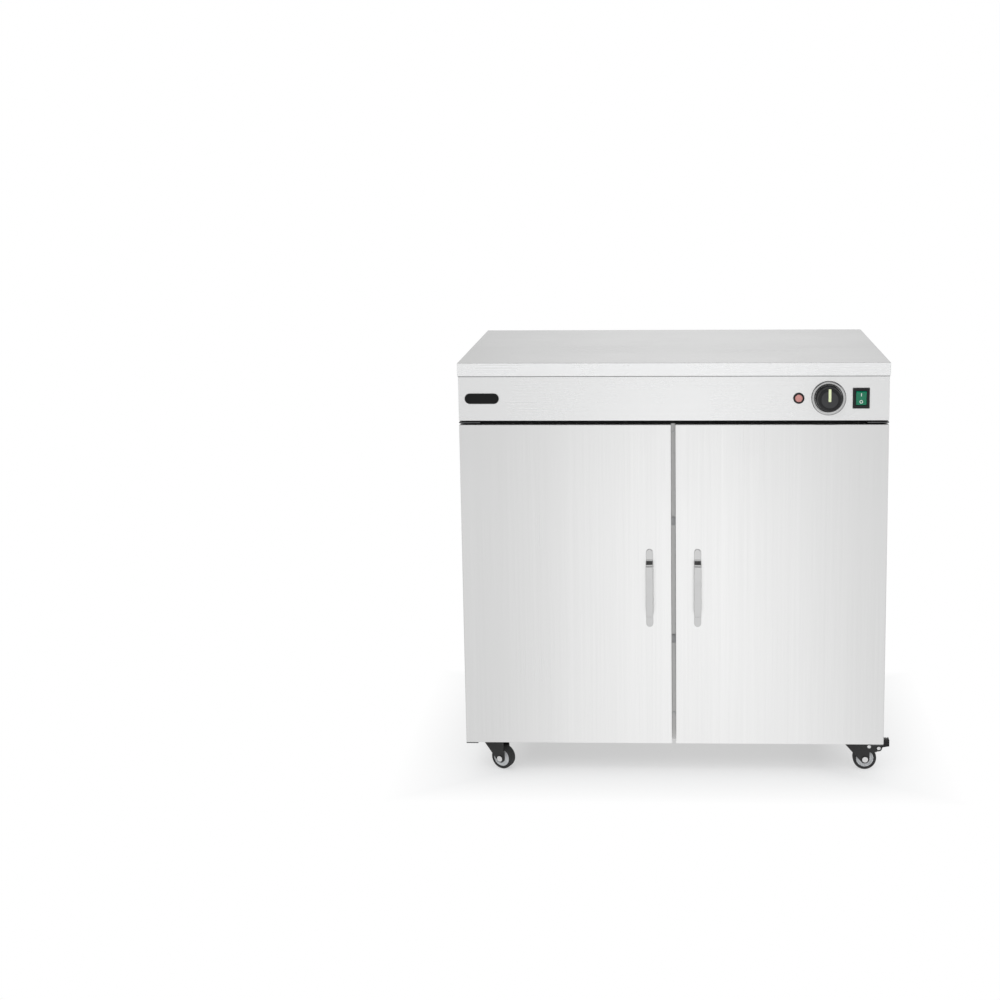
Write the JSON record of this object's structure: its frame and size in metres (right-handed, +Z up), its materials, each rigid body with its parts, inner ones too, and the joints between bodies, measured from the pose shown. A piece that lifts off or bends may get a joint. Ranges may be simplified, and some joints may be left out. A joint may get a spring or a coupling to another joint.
{
  "type": "food holding cabinet",
  "caption": "Heated stainless cabinet for keeping plates and food warm: hinged doors with strap handles, slotted shelves, thermostat and rocker switch, on swivel casters.",
  "frame": {"origin": "on the floor, under the middle of the worktop", "axes": "+Z up, +X to the right seen from the front, +Y towards the back; the doors face -Y"},
  "size_m": [0.883, 0.527, 0.855],
  "materials": {
    "outer_steel": "fine vertical brush on the doors and sides, lengthwise brush on the worktop and fascia",
    "liner_steel": "satin mill finish, slightly darker than the outside",
    "polished_steel": "bright polished",
    "zinc_plate": "satin zinc-plated steel",
    "black_plastic": "fine satin moulded plastic",
    "black_caster_paint": "satin black coating on pressed steel",
    "tyre_rubber": "matt black rubber tread on a grey-ringed hub",
    "green_plastic": "translucent glossy green",
    "red_lens": "translucent glossy pale red",
    "element_sheath": "heat-darkened steel sheath"
  },
  "bodies": {
    "cabinet": {"badge": "black_plastic", "base_pan": "outer_steel", "cable_gland": "black_plastic", "centre_post": "outer_steel", "control_fascia": "outer_steel", "dial_ring": "polished_steel", "element_bracket": "zinc_plate", "front_left_caster_plate": "black_caster_paint", "front_right_caster_plate": "black_caster_paint", "heating_element": "element_sheath", "left_lower_hinge": "zinc_plate", "left_shelf_rack": "liner_steel", "left_side_panel": "outer_steel", "left_upper_hinge": "zinc_plate", "liner_back": "liner_steel", "liner_ceiling": "liner_steel", "liner_floor": "liner_steel", "liner_left": "liner_steel", "liner_right": "liner_steel", "lintel": "outer_steel", "lower_magnet": "black_plastic", "pilot_lamp_body": "black_plastic", "pilot_lens": "red_lens", "rear_left_caster_plate": "black_caster_paint", "rear_panel": "outer_steel", "rear_right_caster_plate": "black_caster_paint", "right_lower_hinge": "zinc_plate", "right_shelf_rack": "liner_steel", "right_side_panel": "outer_steel", "right_upper_hinge": "zinc_plate", "shelf_lower": "liner_steel", "shelf_middle": "liner_steel", "shelf_upper": "liner_steel", "switch_housing": "black_plastic", "thermostat_body": "zinc_plate", "upper_magnet": "black_plastic", "worktop": "outer_steel"},
    "left_door": {"left_door_skin": "outer_steel", "left_door_inner": "outer_steel", "left_door_handle": "polished_steel"},
    "right_door": {"right_door_skin": "outer_steel", "right_door_inner": "outer_steel", "right_door_handle": "polished_steel"},
    "knob": {"thermostat_knob": "black_plastic", "thermostat_shaft": "zinc_plate"},
    "rocker": {"rocker_button": "green_plastic"},
    "front_left_swivel": {"front_left_fork": "black_caster_paint", "front_left_axle": "zinc_plate"},
    "front_left_roller": {"front_left_wheel": "tyre_rubber"},
    "front_right_swivel": {"front_right_fork": "black_caster_paint", "front_right_axle": "zinc_plate"},
    "front_right_roller": {"front_right_wheel": "tyre_rubber"},
    "front_right_brake": {"front_right_brake_pedal": "black_plastic"},
    "rear_left_swivel": {"rear_left_fork": "black_caster_paint", "rear_left_axle": "zinc_plate"},
    "rear_left_roller": {"rear_left_wheel": "tyre_rubber"},
    "rear_left_brake": {"rear_left_brake_pedal": "black_plastic"},
    "rear_right_swivel": {"rear_right_fork": "black_caster_paint", "rear_right_axle": "zinc_plate"},
    "rear_right_roller": {"rear_right_wheel": "tyre_rubber"}
  },
  "joints": [
    {"name": "left_door_hinge", "type": "hinge", "parent": "cabinet", "child": "left_door", "pos_m": [-0.417, -0.228, 0.40175], "axis": [0, 0, -1], "range_deg": [0, 110]},
    {"name": "right_door_hinge", "type": "hinge", "parent": "cabinet", "child": "right_door", "pos_m": [0.417, -0.228, 0.40175], "axis": [0, 0, 1], "range_deg": [0, 110]},
    {"name": "thermostat_turn", "type": "hinge", "parent": "cabinet", "child": "knob", "pos_m": [0.3048, -0.2415, 0.78425], "axis": [0, 1, 0], "range_deg": [0, 300]},
    {"name": "switch_rock", "type": "hinge", "parent": "cabinet", "child": "rocker", "pos_m": [0.368, -0.2378, 0.78425], "axis": [-1, 0, 0], "range_deg": [0, 14]},
    {"name": "front_left_swivel_turn", "type": "hinge", "parent": "cabinet", "child": "front_left_swivel", "pos_m": [-0.3715, -0.1895, 0.0689], "axis": [0, 0, 1], "continuous": true},
    {"name": "front_left_wheel_spin", "type": "hinge", "parent": "front_left_swivel", "child": "front_left_roller", "pos_m": [-0.35337, -0.19795, 0.024], "axis": [0.4226, 0.9063, 0], "continuous": true},
    {"name": "front_right_swivel_turn", "type": "hinge", "parent": "cabinet", "child": "front_right_swivel", "pos_m": [0.3715, -0.1895, 0.0689], "axis": [0, 0, 1], "continuous": true},
    {"name": "front_right_wheel_spin", "type": "hinge", "parent": "front_right_swivel", "child": "front_right_roller", "pos_m": [0.3915, -0.1895, 0.024], "axis": [0, 1, 0], "continuous": true},
    {"name": "front_right_brake_press", "type": "hinge", "parent": "front_right_swivel", "child": "front_right_brake", "pos_m": [0.4195, -0.1895, 0.0475], "axis": [0, 1, 0], "range_deg": [0, 16]},
    {"name": "rear_left_swivel_turn", "type": "hinge", "parent": "cabinet", "child": "rear_left_swivel", "pos_m": [-0.3715, 0.1895, 0.0689], "axis": [0, 0, 1], "continuous": true},
    {"name": "rear_left_wheel_spin", "type": "hinge", "parent": "rear_left_swivel", "child": "rear_left_roller", "pos_m": [-0.3915, 0.1895, 0.024], "axis": [0, -1, 0], "continuous": true},
    {"name": "rear_left_brake_press", "type": "hinge", "parent": "rear_left_swivel", "child": "rear_left_brake", "pos_m": [-0.4195, 0.1895, 0.0475], "axis": [0, -1, 0], "range_deg": [0, 16]},
    {"name": "rear_right_swivel_turn", "type": "hinge", "parent": "cabinet", "child": "rear_right_swivel", "pos_m": [0.3715, 0.1895, 0.0689], "axis": [0, 0, 1], "continuous": true},
    {"name": "rear_right_wheel_spin", "type": "hinge", "parent": "rear_right_swivel", "child": "rear_right_roller", "pos_m": [0.35418, 0.1995, 0.024], "axis": [-0.5, -0.866, 0], "continuous": true}
  ]
}
